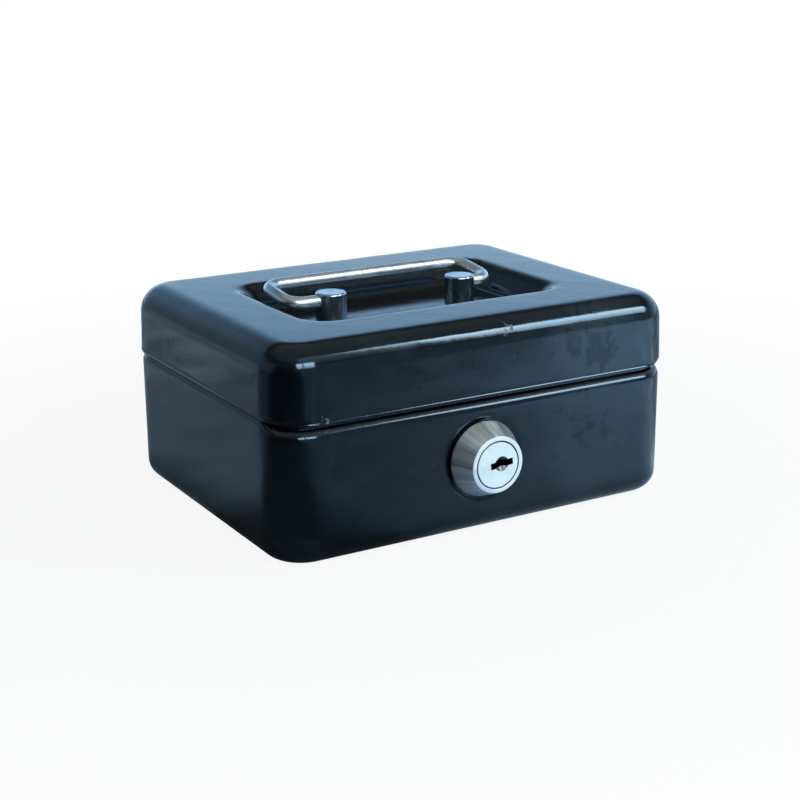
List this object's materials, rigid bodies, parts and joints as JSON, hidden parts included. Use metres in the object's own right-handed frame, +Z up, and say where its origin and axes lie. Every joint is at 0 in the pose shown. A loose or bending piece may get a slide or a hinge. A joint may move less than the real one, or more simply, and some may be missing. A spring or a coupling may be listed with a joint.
{
  "type": "cash box",
  "caption": "Small black steel cash box with rounded corners, hinged lid with a sunk wire carrying handle, conical front cam lock and a lift-out coin tray.",
  "frame": {"origin": "middle of the flat underside of the base, under the centre of the box without the lock", "axes": "+X along the long side to the right, -Y out of the front with the lock, +Z up"},
  "size_m": [0.1518, 0.1281, 0.0736],
  "materials": {
    "black_paint": "gloss",
    "bright_chrome": "polished",
    "satin_chrome": "fine turned",
    "zinc_steel": "zinc plated",
    "wafer_brass": "stamped",
    "tray_plastic": "fine grain"
  },
  "bodies": {
    "base": {"base_shell": "black_paint", "tray_rail_left": "black_paint", "tray_rail_right": "black_paint", "hinge_leaf_base_left": "black_paint", "hinge_leaf_base_right": "black_paint", "hinge_pin_left": "zinc_steel", "hinge_pin_right": "zinc_steel", "base_hinge_rivets": "black_paint", "lock_housing": "satin_chrome", "lock_washer": "zinc_steel", "lock_nut": "zinc_steel"},
    "lid": {"lid_shell": "black_paint", "handle_post_left": "bright_chrome", "handle_post_right": "bright_chrome", "post_washers": "zinc_steel", "hinge_leaf_lid_left": "black_paint", "hinge_leaf_lid_right": "black_paint", "lid_hinge_rivets": "black_paint", "lid_catch": "black_paint"},
    "handle": {"bail_handle": "bright_chrome"},
    "lock_cylinder": {"lock_plug": "satin_chrome", "wafer_tumblers": "wafer_brass", "lock_cam": "zinc_steel", "cam_washer": "zinc_steel", "cam_screw": "zinc_steel"},
    "tray": {"coin_tray": "tray_plastic"}
  },
  "joints": [
    {"name": "lid_hinge", "type": "hinge", "parent": "base", "child": "lid", "pos_m": [0, 0.058, 0.0454], "axis": [-1, 0, 0], "range_deg": [0, 100]},
    {"name": "handle_pivot", "type": "hinge", "parent": "lid", "child": "handle", "pos_m": [0, 0, 0.0688], "axis": [1, 0, 0], "range_deg": [-18, 184]},
    {"name": "lock_turn", "type": "hinge", "parent": "base", "child": "lock_cylinder", "pos_m": [-0.0024, -0.05925, 0.0251], "axis": [0, 1, 0], "range_deg": [0, 90]},
    {"name": "tray_lift", "type": "slide", "parent": "base", "child": "tray", "axis": [0, 0, 1], "range_m": [0, 0.01]}
  ]
}
